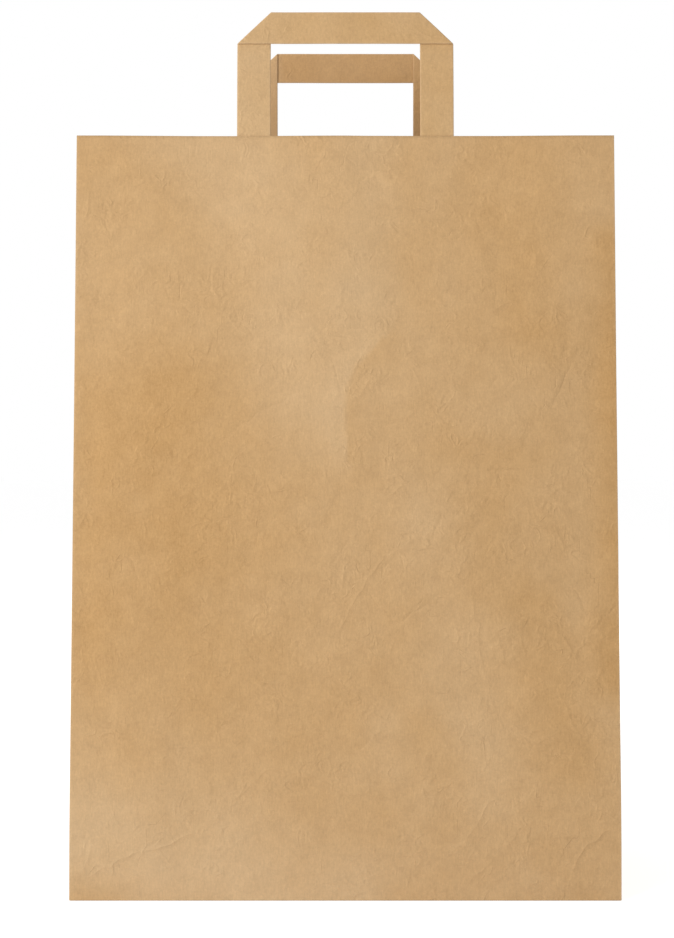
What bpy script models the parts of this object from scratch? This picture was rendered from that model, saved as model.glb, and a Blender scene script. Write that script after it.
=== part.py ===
"""Paper carrier bag with flat folded tape handles.

The bag is one kraft sheet, folded and glued: front and back panels, two side gussets with a centre crease,
and a block bottom with overlapping flaps. Each handle is a flat paper tape, folded over at 45 degrees at its
two corners, whose legs go down inside a panel under a glued patch.

Metres, +Z up. The origin is the centre of the base, the front panel faces -Y and +X is to the right.
"""

import math
from collections import namedtuple

import bmesh
import bpy
from mathutils import Vector

# The bag, opened and standing
WIDTH = 0.320  # across the front panel
DEPTH = 0.170  # depth of the base, which is also the flat width of a gusset
HEIGHT = 0.4485  # base to rim
RIM_INSET = 0.028  # how far in from the base's edge each panel stands at the rim
FRONT_UPRIGHT = 0.045  # height at which the front panel starts to lean in
FRONT_BEND = 0.040  # height over which the front panel turns into its lean
PANEL_BOW = 0.003  # how far the middle of a panel bellies out
GUSSET_BOW = 0.004  # how far the middle of half a gusset bellies out
PAPER = 0.00015  # thickness of the sheet
BASE_BAND = 0.001  # the fold along the base's edges stands upright this far

# Glued seam and block bottom
SEAM_WIDTH = 0.022  # overlap of the sheet's two long edges, on the back panel
SEAM_INSET = 0.002  # from the corner fold to the inner layer's edge
SEAM_STEP = 0.0001  # width over which a layer's edge steps down
FLAP_OVERLAP = 0.030  # how far the front bottom flap laps over the back one
LAYER_GRIP = 0.1 * PAPER  # depth that two glued layers share
TURN_INSET = 0.0002  # a turned corner lies this far inside the flap that hides it

# Handles and patches
HANDLE_WIDTH = 0.129  # outside the legs
HANDLE_RISE = 0.076  # length of tape from the rim to the strap's top edge
HANDLE_TUCK = 0.040  # length of a leg below the rim
TAPE_WIDTH = 0.020
TAPE_THICKNESS = 0.0007
CORNER_GAP = 0.0001  # between the strap and the leg that it folds over
STRAP_BEND = 0.030  # length of tape over which the handle turns into the strap's lean
FRONT_STRAP_LEAN = math.radians(11)  # towards the inside of the bag
BACK_STRAP_LEAN = math.radians(-9.5)  # away from the inside of the bag
PATCH_PAPER = 0.00015
PATCH_SIDE = 0.012  # patch beside a leg
PATCH_BELOW = 0.009  # patch below a leg's end
PATCH_TOP = 0.004  # from the rim down to the patch
PATCH_RAMP = 0.003  # width over which the patch climbs onto a leg
PATCH_CLEAR = 0.0005  # from a leg's edge to the start of that climb
GAP = 0.0003  # between pieces that touch

# How finely the forms are divided
PANEL_COLUMNS = 12
GUSSET_COLUMNS = 5  # from a corner fold to the centre crease
TRIANGLE_COLUMNS = 3  # from a diagonal fold to the middle of the bottom triangle
UPPER_ROWS = 12
TAPE_COLUMNS = 4
LEG_ROWS = 14
STRAP_LINES = 5
FOLD_STEPS = 4
LEAN_STEPS = 40

KRAFT = (0.58, 0.37, 0.18, 1)
TAPE_KRAFT = (0.60, 0.39, 0.20, 1)
PATCH_KRAFT = (0.55, 0.35, 0.17, 1)

APEX = DEPTH / 2  # height on the sheet where the gusset's diagonal folds meet
FLAP_LENGTH = (DEPTH + FLAP_OVERLAP) / 2
LEG_OUTER = HANDLE_WIDTH / 2
LEG_INNER = LEG_OUTER - TAPE_WIDTH
FOLD_RADIUS = (TAPE_THICKNESS + CORNER_GAP) / 2
FOLD_LINE = HANDLE_RISE - math.pi * FOLD_RADIUS / math.sqrt(2)  # see fold_tape

# A panel: the way it faces along Y, where and how softly it starts to lean, how far its face lies below the
# seam's outer layer, and the lean of its handle's strap
Side = namedtuple("Side", "name out upright bend sunk strap_lean")
FRONT = Side("front", -1, FRONT_UPRIGHT, FRONT_BEND, 0, FRONT_STRAP_LEAN)
BACK = Side("back", 1, APEX, 0, PAPER, BACK_STRAP_LEAN)


def share(value, low, high):
    """How far value is from low to high, held between 0 and 1."""
    return min(max((value - low) / (high - low), 0), 1)


def spread(low, high, steps):
    return [low + (high - low) * k / steps for k in range(steps + 1)]


def panel_slope(side):
    return RIM_INSET / (HEIGHT - side.upright)


def panel_depth(side, x, z):
    """Distance from the bag's middle to a panel's outer face."""
    past = z - side.upright
    if abs(past) < side.bend / 2:
        leaning = (past + side.bend / 2) ** 2 / (2 * side.bend)
    else:
        leaning = max(past, 0)
    upward = math.sin(math.pi * share(z, side.upright, HEIGHT)) ** 2
    bow = PANEL_BOW * upward * (1 - (2 * x / WIDTH) ** 2)
    return DEPTH / 2 - panel_slope(side) * leaning + bow - side.sunk


def row_level(height):
    """Height of a row over the floor. The sheet starts half a thickness above the base's lowest face."""
    return max(height, PAPER / 2)


def corner(side, height):
    """Point of the right-hand corner fold."""
    return Vector((WIDTH / 2, side.out * panel_depth(side, WIDTH / 2, height), row_level(height)))


def crease_reach(height):
    """How far the centre crease stands in from the side, where both halves of the gusset keep their width."""
    half = (corner(BACK, height).y - corner(FRONT, height).y) / 2
    return math.sqrt(APEX**2 - half**2)


def crease_points(heights):
    """The centre crease from the apex up. It keeps its length as it runs in, so it ends lower than the rim."""
    points = {}
    reach = crease_reach(APEX)
    level = math.sqrt(APEX**2 - reach**2)
    last = APEX
    for height in heights:
        further = crease_reach(height)
        level += math.sqrt((height - last) ** 2 - (further - reach) ** 2)
        middle = (corner(BACK, height).y + corner(FRONT, height).y) / 2
        points[height] = Vector((WIDTH / 2 - further, middle, level))
        reach = further
        last = height
    return points


def sheet_heights():
    """Heights of the sheet's rows: closer where the front panel bends, and one at the apex."""
    bend = spread(FRONT_UPRIGHT - FRONT_BEND / 2, FRONT_UPRIGHT + FRONT_BEND / 2, 4)
    return sorted({0, BASE_BAND, *bend, *spread(APEX, HEIGHT, UPPER_ROWS)})


def line_between(start, end, steps, bow=0):
    """Points from start up to but not including end, bowed outwards along X."""
    points = []
    for k in range(steps):
        t = k / steps
        points.append(start.lerp(end, t) + Vector((4 * bow * t * (1 - t), 0, 0)))
    return points


def gusset_row(height, creases):
    """The right gusset's points between its two corner folds."""
    front = corner(FRONT, height)
    back = corner(BACK, height)
    if height < APEX:
        upward = share(height, BASE_BAND, APEX)
        front_fold = corner(FRONT, min(height, BASE_BAND)).lerp(creases[APEX], upward)
        back_fold = corner(BACK, min(height, BASE_BAND)).lerp(creases[APEX], upward)
    else:
        front_fold = back_fold = creases[height]
    bow = GUSSET_BOW * math.sin(math.pi / 2 * share(height, APEX, HEIGHT))
    row = line_between(front, front_fold, GUSSET_COLUMNS, bow)
    row += line_between(front_fold, back_fold, 2 * TRIANGLE_COLUMNS)
    row += line_between(back_fold, back, GUSSET_COLUMNS, bow)
    return row[1:]


def panel_row(side, height):
    """Points and thickness weights of one row of a panel, from the left corner to the right one."""
    outer_edge = -WIDTH / 2 + SEAM_WIDTH
    inner_edge = -WIDTH / 2 + SEAM_INSET
    columns = set(spread(-WIDTH / 2, WIDTH / 2, PANEL_COLUMNS))
    if side is BACK:
        columns |= {outer_edge, outer_edge + SEAM_STEP, inner_edge, inner_edge + SEAM_STEP}
    row = []
    for x in sorted(columns):
        raised = PAPER if side is BACK and x <= outer_edge else 0
        double = side is BACK and inner_edge < x <= outer_edge
        y = side.out * (panel_depth(side, x, height) + raised)
        row.append((Vector((x, y, row_level(height))), 1.0 if double else 0.0))
    return row


def sheet_row(height, creases):
    """One closed row round the bag, seen from above: front, right gusset, back, left gusset."""
    gusset = gusset_row(height, creases)
    mirrored = [Vector((-p.x, p.y, p.z)) for p in reversed(gusset)]
    row = panel_row(FRONT, height)
    row += [(p, 0.0) for p in gusset]
    row += reversed(panel_row(BACK, height))
    row += [(p, 0.0) for p in mirrored]
    return row


def kraft_material(name, colour, roughness):
    material = bpy.data.materials.new(name)
    material.use_nodes = True
    shader = material.node_tree.nodes["Principled BSDF"]
    shader.inputs["Base Color"].default_value = colour
    shader.inputs["Roughness"].default_value = roughness
    shader.inputs["Metallic"].default_value = 0
    return material


def add_object(name, bm, collection, material=None):
    """Object from a bmesh whose creases are sharp and whose soft curves are shaded smooth."""
    mesh = bpy.data.meshes.new(name)
    bm.to_mesh(mesh)
    bm.free()
    mesh.shade_smooth()
    mesh.set_sharp_from_angle(angle=math.radians(8))
    if material:
        mesh.materials.append(material)
    obj = bpy.data.objects.new(name, mesh)
    collection.objects.link(obj)
    return obj


def loft(rows, closed=False):
    """Surface through rows of points, with points that fall together made one."""
    bm = bmesh.new()
    rings = [[bm.verts.new(p) for p in row] for row in rows]
    for low, high in zip(rings, rings[1:]):
        count = len(low)
        for k in range(count if closed else count - 1):
            after = (k + 1) % count
            bm.faces.new((low[k], low[after], high[after], high[k]))
    return bm


def weld(bm):
    bmesh.ops.remove_doubles(bm, verts=bm.verts, dist=0.00001)
    bmesh.ops.recalc_face_normals(bm, faces=bm.faces)


def thicken(obj, thickness, offset):
    solid = obj.modifiers.new("Thickness", "SOLIDIFY")
    solid.thickness = thickness
    solid.offset = offset
    solid.use_even_offset = True
    return solid


def fold_line(side):
    """Place along Y, in the middle of a panel's thickness, where the panel turns into its bottom flap."""
    return side.out * (DEPTH / 2 - side.sunk - PAPER / 2)


def flap_outline(side):
    """Front or back bottom flap: a trapezoid whose ends run at 45 degrees from the base's corners."""
    end = WIDTH / 2 - PAPER / 2
    fold = fold_line(side)
    free = side.out * (DEPTH / 2 - FLAP_LENGTH)
    return [(-end, fold), (end, fold), (WIDTH / 2 - FLAP_LENGTH, free), (FLAP_LENGTH - WIDTH / 2, free)]


def turned_corner_outline(end, side):
    """The part of a flap that is folded back under its 45 degree end."""
    root = end * (WIDTH / 2 - FLAP_LENGTH + TURN_INSET)
    tip = end * (WIDTH / 2 - 3 * TURN_INSET)
    free = side.out * (DEPTH / 2 - FLAP_LENGTH + 3 * TURN_INSET)
    return [(tip, fold_line(side)), (root, fold_line(side)), (root, free)]


def side_flap_outline(end):
    """The gusset's flap, which is folded in first and lies on top inside the bag."""
    outer = end * (WIDTH / 2 - PAPER / 2)
    inner = end * (WIDTH / 2 - FLAP_LENGTH)
    front = fold_line(FRONT)
    back = fold_line(BACK)
    return [(outer, front), (outer, back), (inner, back), (inner, front)]


def layer_plate(name, outline, low, high, collection):
    """A flap from layer low to layer high of the bottom, a little sunk into the layer below it."""
    bm = bmesh.new()
    bottom = low * PAPER - (LAYER_GRIP if low else 0)
    face = bm.faces.new([bm.verts.new((x, y, bottom)) for x, y in outline])
    raised = bmesh.ops.extrude_face_region(bm, geom=[face])["geom"]
    corners = [v for v in raised if isinstance(v, bmesh.types.BMVert)]
    bmesh.ops.translate(bm, verts=corners, vec=(0, 0, high * PAPER - bottom))
    bmesh.ops.recalc_face_normals(bm, faces=bm.faces)
    plate = add_object(name, bm, collection)
    plate.hide_render = True
    plate.display_type = "WIRE"


def add_bottom_layers(collection):
    """The block bottom's layers from the floor up: front flap, back flap, turned corners, side flaps."""
    layer_plate("front_flap", flap_outline(FRONT), 0, 1, collection)
    layer_plate("back_flap", flap_outline(BACK), 1, 2, collection)
    for end, word in ((-1, "left"), (1, "right")):
        layer_plate(f"front_turn_{word}", turned_corner_outline(end, FRONT), 1, 3, collection)
        layer_plate(f"back_turn_{word}", turned_corner_outline(end, BACK), 2, 3, collection)
        layer_plate(f"side_flap_{word}", side_flap_outline(end), 3, 4, collection)


def add_bag_body(collection, layers):
    heights = sheet_heights()
    creases = crease_points([h for h in heights if h >= APEX])
    rows = [sheet_row(height, creases) for height in heights]
    bm = loft([[p for p, _ in row] for row in rows], closed=True)
    weights = bm.verts.layers.deform.verify()
    doubled = [weight for row in rows for _, weight in row]
    for vert, weight in zip(bm.verts, doubled):
        vert[weights][0] = weight
    weld(bm)
    body = add_object("bag_body", bm, collection, kraft_material("kraft_sheet", KRAFT, 0.85))
    body.vertex_groups.new(name="seam")
    sheet = thicken(body, 2 * PAPER, -1)
    sheet.vertex_group = "seam"
    sheet.thickness_vertex_group = 0.5
    bottom = body.modifiers.new("Bottom layers", "BOOLEAN")
    bottom.operation = "UNION"
    bottom.operand_type = "COLLECTION"
    bottom.collection = layers


def fold_tape(across, along):
    """Folds the flat tape over at 45 degrees. The tape runs up from the rim, and across is from its inner edge.
    Past the fold line, where across + along is FOLD_LINE, it rolls round FOLD_RADIUS and runs back level, at
    right angles to the leg. FOLD_LINE takes off what the roll uses up, so the strap ends at HANDLE_RISE."""
    past = (across + along - FOLD_LINE) / math.sqrt(2)
    if past <= 0:
        return across, along, 0
    half_turn = math.pi * FOLD_RADIUS
    if past < half_turn:
        reach = FOLD_RADIUS * math.sin(past / FOLD_RADIUS)
        out = FOLD_RADIUS * (1 - math.cos(past / FOLD_RADIUS))
    else:
        reach = half_turn - past
        out = 2 * FOLD_RADIUS
    shift = (reach - past) / math.sqrt(2)
    return across + shift, along + shift, out


def tape_lines():
    """The cross lines of half the tape, as the length along it for a place across it."""
    lines = []
    for along in spread(-HANDLE_TUCK, 0, 4)[:-1] + spread(0, FOLD_LINE - 1.1 * TAPE_WIDTH, LEG_ROWS):
        lines.append(lambda across, along=along: along)
    for past in spread(0, math.pi * FOLD_RADIUS, FOLD_STEPS):
        lines.append(lambda across, past=past: FOLD_LINE + math.sqrt(2) * past - across)
    for x in spread(LEG_INNER - TAPE_WIDTH / 8, 0, STRAP_LINES):
        lines.append(lambda across, x=x: LEG_INNER + HANDLE_RISE - x)
    return lines


def place_tape(side, x, up, out):
    """Stands the flat handle up on its panel: below the rim it follows the panel, above it turns into the
    strap's lean."""
    inset = PAPER + GAP + TAPE_THICKNESS / 2
    if up <= 0:
        return Vector((x, side.out * (panel_depth(side, x, HEIGHT + up) - inset), HEIGHT + up))
    rim_lean = math.atan(panel_slope(side))
    bend_middle = HANDLE_RISE - TAPE_WIDTH
    depth = panel_depth(side, x, HEIGHT) - inset
    z = HEIGHT
    lean = rim_lean
    step = up / LEAN_STEPS
    for k in range(LEAN_STEPS):
        turn = share((k + 0.5) * step, bend_middle - STRAP_BEND / 2, bend_middle + STRAP_BEND / 2)
        lean = rim_lean + (side.strap_lean - rim_lean) * turn
        depth -= step * math.sin(lean)
        z += step * math.cos(lean)
    depth += out * math.cos(lean)
    z += out * math.sin(lean)
    return Vector((x, side.out * depth, z))


def add_handle(side, collection):
    """Half the tape is folded and placed, then mirrored at the middle of the strap and given its thickness."""
    rows = []
    for line in tape_lines():
        row = []
        for across in spread(0, TAPE_WIDTH, TAPE_COLUMNS):
            inward, up, out = fold_tape(across, line(across))
            row.append(place_tape(side, LEG_INNER + inward, up, out))
        rows.append(row)
    bm = loft(rows)
    weld(bm)
    material = kraft_material(f"{side.name}_tape", TAPE_KRAFT, 0.8)
    handle = add_object(f"{side.name}_handle", bm, collection, material)
    mirror = handle.modifiers.new("Other half", "MIRROR")
    mirror.merge_threshold = 0.00001
    thicken(handle, TAPE_THICKNESS, 0)


def patch_depth(side, x, z):
    """Distance from the bag's middle to the patch's middle. It lies on the panel and climbs over the legs."""
    beside = max(LEG_INNER - PATCH_CLEAR - x, x - LEG_OUTER - PATCH_CLEAR, 0)
    below = max(HEIGHT - HANDLE_TUCK - PATCH_CLEAR - z, 0)
    climb = (1 - share(beside, 0, PATCH_RAMP)) * (1 - share(below, 0, PATCH_RAMP))
    inset = PAPER + GAP + PATCH_PAPER / 2 + climb * (TAPE_THICKNESS + GAP)
    return panel_depth(side, x, z) - inset


def add_patch(side, collection):
    inner = LEG_INNER - PATCH_CLEAR
    outer = LEG_OUTER + PATCH_CLEAR
    leg_end = HEIGHT - HANDLE_TUCK - PATCH_CLEAR
    columns = spread(0, inner - PATCH_RAMP, 4) + spread(inner, outer, 2)
    columns += spread(outer + PATCH_RAMP, LEG_OUTER + PATCH_SIDE, 2)
    levels = spread(HEIGHT - HANDLE_TUCK - PATCH_BELOW, leg_end - PATCH_RAMP, 1)
    levels += spread(leg_end, HEIGHT - PATCH_TOP, 4)
    rows = []
    for z in levels:
        rows.append([Vector((x, side.out * patch_depth(side, x, z), z)) for x in columns])
    bm = loft(rows)
    weld(bm)
    material = kraft_material(f"{side.name}_patch_sheet", PATCH_KRAFT, 0.88)
    patch = add_object(f"{side.name}_patch", bm, collection, material)
    mirror = patch.modifiers.new("Other half", "MIRROR")
    mirror.merge_threshold = 0.00001
    thicken(patch, PATCH_PAPER, 0)


def new_collection(name):
    collection = bpy.data.collections.new(name)
    bpy.context.scene.collection.children.link(collection)
    return collection


def main():
    for obj in list(bpy.data.objects):
        bpy.data.objects.remove(obj)
    bag = new_collection("paper_carrier_bag")
    layers = new_collection("bottom_layers")
    add_bottom_layers(layers)
    add_bag_body(bag, layers)
    for side in (FRONT, BACK):
        add_handle(side, bag)
        add_patch(side, bag)


main()
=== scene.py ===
"""Paper carrier bag: kraft sheet with gussets and a block bottom, two folded tape handles, two patches."""

import math
from collections import namedtuple

import bmesh
import bpy
import numpy as np
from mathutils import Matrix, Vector


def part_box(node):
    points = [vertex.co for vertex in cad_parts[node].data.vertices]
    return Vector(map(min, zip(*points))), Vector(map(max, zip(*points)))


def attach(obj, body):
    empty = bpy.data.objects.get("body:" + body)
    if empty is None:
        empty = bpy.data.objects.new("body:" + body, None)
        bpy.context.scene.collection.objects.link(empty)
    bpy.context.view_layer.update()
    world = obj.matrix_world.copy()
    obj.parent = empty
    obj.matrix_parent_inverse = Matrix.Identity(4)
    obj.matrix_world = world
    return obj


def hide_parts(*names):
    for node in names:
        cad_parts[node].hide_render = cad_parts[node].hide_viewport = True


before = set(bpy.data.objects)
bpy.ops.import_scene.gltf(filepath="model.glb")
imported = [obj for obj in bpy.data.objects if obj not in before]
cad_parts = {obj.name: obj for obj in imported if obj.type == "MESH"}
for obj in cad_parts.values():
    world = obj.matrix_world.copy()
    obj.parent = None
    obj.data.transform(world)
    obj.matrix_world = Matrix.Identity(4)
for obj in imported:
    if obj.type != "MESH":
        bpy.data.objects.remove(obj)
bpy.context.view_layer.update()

bl_info = {
    "name": "Paper Carrier Bag",
    "version": (1, 0, 0),
    "blender": (4, 5, 0),
    "location": "3D View > Sidebar > Paper Bag",
    "description": "Builds a kraft paper carrier bag with gussets, a block bottom and flat tape handles",
    "category": "Add Mesh",
}

MM = 0.001

# Sizes of the folded sheet, taken from the frame where it holds them
body_low, body_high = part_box("bag_body")
handle_low, handle_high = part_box("front_handle")
WIDTH = body_high.x - body_low.x
DEPTH = body_high.y - body_low.y
RIM = body_high.z
HANDLE_WIDTH = handle_high.x - handle_low.x
RIM_INSET = 28 * MM
PANEL_BOW = 3 * MM
GUSSET_BOW = 4 * MM
PAPER = 0.15 * MM
APEX = DEPTH / 2
BASE_BAND = 1 * MM
FOLD_ROUND = 0.6 * MM

# Glued seam on the back panel and the block bottom's flaps
SEAM_OUTER = -WIDTH / 2 + 22 * MM
SEAM_INNER = -WIDTH / 2 + 2 * MM
SEAM_STEP = 0.1 * MM
SEAM_RUB = 0.9 * MM
FLAP_LENGTH = (DEPTH + 30 * MM) / 2
LAYER_GRIP = 0.1 * PAPER
TURN_INSET = 0.2 * MM
FLAP_RUB = 1.6 * MM
FLAP_WEAR = 1.2

# Tape handles and their patches
HANDLE_RISE = 76 * MM
HANDLE_TUCK = 40 * MM
TAPE_WIDTH = 20 * MM
TAPE_THICKNESS = 0.7 * MM
CORNER_GAP = 0.1 * MM
STRAP_BEND = 30 * MM
LEG_OUTER = HANDLE_WIDTH / 2
LEG_INNER = LEG_OUTER - TAPE_WIDTH
FOLD_RADIUS = (TAPE_THICKNESS + CORNER_GAP) / 2
FOLD_LINE = HANDLE_RISE - math.pi * FOLD_RADIUS / math.sqrt(2)
LEG_CLEAR = 1.1 * TAPE_WIDTH  # from a leg's last straight row up to the fold line
STRAP_CLEAR = TAPE_WIDTH / 8  # from a leg's inner edge to the strap's first straight row
PATCH_PAPER = 0.15 * MM
PATCH_SIDE = 12 * MM
PATCH_BELOW = 9 * MM
PATCH_TOP = 4 * MM
PATCH_RAMP = 3 * MM
PATCH_CLEAR = 0.5 * MM
GAP = 0.3 * MM
TAPE_EDGE_WEAR = 0.6 * MM

# How finely the paper is divided. Close rows and columns at the folds and edges let them be round.
FRONT_COLUMNS = 150
BACK_COLUMNS = 50
CORNER_COLUMNS = (0.3 * MM, 0.7 * MM)
CORNER_CLEAR = 2 * MM
GUSSET_COLUMNS = 18
GUSSET_CORNER_COLUMNS = (0.0035, 0.008)  # as shares of half a gusset's width, like the next
GUSSET_CLEAR = 0.03
TRIANGLE_COLUMNS = 14
SHEET_ROWS = 168
BASE_ROWS = (0, 0.12 * MM, 0.3 * MM, 0.6 * MM, BASE_BAND)
APEX_ROWS = 33
TAPE_EDGE_COLUMNS = (0, 0.05 * MM, 0.15 * MM, 0.35 * MM, 1.2 * MM)
TAPE_COLUMNS = 13
LEG_ROWS = 44
TURN_ROWS = 8
FOLD_ROWS = 10
STRAP_ROWS = 26
PATCH_COLUMNS = 115
PATCH_ROWS = 34
LEAN_STEPS = 400
WELD_DISTANCE = 0.005 * MM
SHEET_SHARP_ANGLE = 40
TAPE_SHARP_ANGLE = 50

# How pale the paper is rubbed: at a corner fold and two columns beside it, at a gusset's folds and the seam
CORNER_WEAR = (0.4, 0.8, 1, 0.8, 0.4)
GUSSET_WEAR = 0.7
SEAM_WEAR = 0.8

# Waves of handled paper: their lengths and heights, and over what distance they start or fade
BROAD_WAVE = 90 * MM
SMALL_WAVE = 26 * MM
SMALL_SHARE = 0.25
GUSSET_WAVE = 70 * MM
GUSSET_LOOSENESS = 1.6
TAPE_WAVE = 60 * MM
TAPE_RIPPLE = 0.25 * MM
TAPE_WAVE_START = 30 * MM
LEG_FREE = 25 * MM
CORNER_FADE = 14 * MM
BASE_FADE = 16 * MM
RIM_WAVE_REACH = 160 * MM
WAVES = 9  # sine waves that are added up
WAVE_SPREAD = (0.6, 1.7)
WAVE_CALM = 4
RIDGE_END = 0.6  # height of a ridge at its ends, as a share of that at its middle

# Creases, in millimetres
CREASE_LENGTHS = (5, 26)
CRUMPLED_LONGEST = 12
CREASE_BEND = 0.18
SCATTERED_HEIGHT = (0.2, 0.65)
LOWEST_CREASE = 4
CREASE_WOBBLE = 1.1
WOBBLE_WAVE = 11 * MM
CREASE_MARK_REACH = 12
FAR = 99.0

# Seeds, and for the scattered creases also their number
FRONT_CREASE_COUNT = (51, 240)
BACK_CREASE_COUNT = (52, 150)
GUSSET_CREASE_COUNT = (53, 70)
GUSSET_WAVE_SEEDS = (21, 31)
TAPE_WAVE_SEED = 41
FIRST_TONE_SEED = 61
TAPE_TONE_SEED = 71
WOBBLE_SEEDS = (81, 82)

# Colour and surface of the paper. A noise is its swings per metre, detail, roughness and distortion.
KRAFT = (0.58, 0.37, 0.18, 1)
WORN_COLOUR = (0.78, 0.60, 0.40, 1)
CLOUD_NOISE = (22, 4, 0.55)
BLOTCH_NOISE = (105, 3, 0.6)
GRAIN_NOISE = (760, 3, 0.8)
FIBRE_NOISE = (1300, 2)
FIBRE_TURNS = ((0.1, 0.2, 0), (0, 1.1, 0))
FIBRE_STRETCH = (1, 1, 0.22)
WEAR_NOISE = (260, 3, 0.6)
COCKLE_DETAIL = 2
CRINKLE_NOISE = (1.5, 0.5, 0.7)  # without its swings per metre
CRINKLED_PATCH_NOISE = (46, 3, 0.6)
CRINKLED_PATCH_LEVEL = 0.47
CRINKLED_PATCH_EDGE = 7.0
# The tone these depths change is the paper's own random tone and clouds, and also the painted light and shade
# carried by the mesh
TONE_AND_SHADE_DEPTHS = (0.52, 1.0, 1.95)  # how much a stain changes red, green and blue
CUT_DEPTHS = (0.92, 1.0, 1.08)
ROUGHNESS_SWING = 0.16
LEAST_ROUGHNESS = 0.76
PAPER_SHEEN = 0.25
CREASE_REACH = 2.6  # millimetres
CREASE_DEPTH = 0.29 * MM
CRINKLE_DEPTH = 0.17 * MM
GRAIN_DEPTH = 0.03 * MM
GRAIN_STRENGTH = 0.35
Surface = namedtuple("Surface", "blotches grain wear cockle")
SHEET_SURFACE = Surface(0.22, 0.38, 0.35, 0.6 * MM)
TAPE_SURFACE = Surface(0.20, 0.40, 0.4, 0.3 * MM)
PATCH_SURFACE = Surface(0.24, 0.42, 0.0, 0.3 * MM)
TONE_SWING = 0.012
SHEET_TONE_WAVE = 80 * MM
TAPE_TONE_WAVE = 30 * MM

# Stage
FLOOR_HALF = 30
FLOOR_DROP = 0.1 * MM
LIGHTS_AIM = Vector((0, 0, 0.24))

# A panel: the way it faces along Y, where and how softly it starts to lean, how far its face lies below the
# seam's outer layer, and the lean of its handle's strap
Side = namedtuple("Side", "name out upright bend sunk strap_lean")
FRONT = Side("front", -1, 45 * MM, 40 * MM, 0.0, math.radians(11))
BACK = Side("back", 1, APEX, 0.0, PAPER, math.radians(-9.5))

# A soft ridge or hollow of the panel: its line as (x, z), its height outwards, and how far it reaches to its
# left and right, all in millimetres. Each line runs upwards or to the right.
Ridge = namedtuple("Ridge", "points height left right")

FRONT_RIDGES = (
    Ridge(((0, 258), (9, 290), (15, 332), (4, 391), (-9, 446)), 0.8, 62, 24),
    Ridge(((-92, 452), (-84, 400), (-48, 330), (-10, 262)), -0.5, 26, 34),
    Ridge(((106, 84), (110, 130), (68, 203), (6, 246)), 0.55, 26, 40),
    Ridge(((-136, 132), (-138, 230), (-134, 322)), 0.7, 18, 84),
    Ridge(((-112, 8), (-112, 62), (-116, 118)), 0.7, 36, 22),
    Ridge(((66, 168), (124, 138), (124, 82)), 0.35, 14, 30),
    Ridge(((122, 84), (143, 200), (146, 344)), -0.5, 40, 14),
)
BACK_RIDGES = (
    Ridge(((-60, 120), (-20, 210), (30, 260), (90, 270)), 0.5, 34, 40),
    Ridge(((96, 440), (70, 380), (84, 300)), 0.6, 30, 44),
    Ridge(((-110, 60), (-84, 130), (-96, 220)), -0.5, 28, 36),
)

# A sharp crease: its line as (x, z) in millimetres, and its height outwards as a share of the deepest's
FRONT_CREASES = (
    (((4.5, 250), (1, 265), (-0.6, 282), (0.5, 296), (6, 311), (14, 319), (20, 327)), 0.35),
    (((-10.5, 145), (2.7, 167), (14.5, 187.6), (22, 197), (32, 203.5), (48.8, 203.4), (66, 197.5)), 0.75),
    (((97, 88), (88, 106), (79, 140), (74.8, 167), (71.8, 194)), 0.5),
    (((20.4, 155.4), (38, 165), (49.8, 172), (60, 169.5), (70.4, 165.8)), -0.8),
    (((-151.7, 11.8), (-126.7, 26.4), (-103, 32.3), (-80, 44)), 1.0),
    (((130, 15), (137, 30), (154, 41), (159, 46)), 1.0),
    (((70, 34), (78, 46), (86, 60)), 0.7),
    (((91, 53), (95, 38), (100, 15)), -0.5),
    (((120, 283), (127, 296), (134, 313)), -0.8),
    (((132, 255), (143, 263)), -0.6),
    (((129, 243), (140, 244), (152, 247)), 0.6),
    (((76, 268), (98, 266), (121, 270)), -0.5),
    (((88, 247), (95, 242), (101, 237)), -0.9),
    (((78, 236), (92, 235.5), (100, 238.5)), -0.6),
    (((-65, 58.7), (-44.4, 76.3), (-23.8, 73.3), (2.7, 61.6), (26, 58)), 0.65),
    (((-73.8, 267), (-50.2, 283), (-26.7, 296)), -0.6),
    (((-91, 208), (-76.7, 220), (-18, 230.5)), -0.5),
    (((-106, 211), (-85, 202), (-68, 190), (-53, 176), (-44, 163)), 0.6),
    (((-29.6, 182), (-15, 147)), 0.45),
    (((120.4, 161.3), (128, 150), (138, 135)), 0.7),
    (((123.3, 123), (130, 108), (135, 94)), 0.5),
    (((11, 321), (19, 327)), 0.6),
    (((30, 260), (39, 269)), -0.5),
    (((61, 383), (66, 387), (71, 391)), -0.7),
)
BACK_CREASES = (
    (((-34, 300), (8, 336), (26, 392)), 0.8),
    (((44, 108), (70, 150), (110, 168)), -0.8),
    (((-120, 250), (-88, 282), (-52, 288)), 0.6),
    (((112, 200), (134, 232)), 0.7),
    (((-20, 40), (22, 62), (60, 52)), 0.6),
    (((-150, 30), (-124, 74)), -0.9),
    (((150, 28), (126, 70)), 0.9),
)

# Places on the front panel that are crumpled more: seed, number of short creases, and the place's lower left
# and upper right corners in millimetres
CRUMPLED_PLACES = (
    (54, 46, (92, 40), (156, 150)),
    (55, 34, (20, 180), (120, 280)),
    (56, 24, (-70, 170), (0, 250)),
)

# A paler or deeper brown place painted into the front panel's colour, mostly painted light and shade where
# the key light from the left falls on the panel's ridges, creases and edges, partly the paper's own uneven
# tone: its line as (x, z), how much paler it is, and how far it reaches to its left and right in millimetres
ShadeTone = namedtuple("ShadeTone", "points paler left right")

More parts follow.
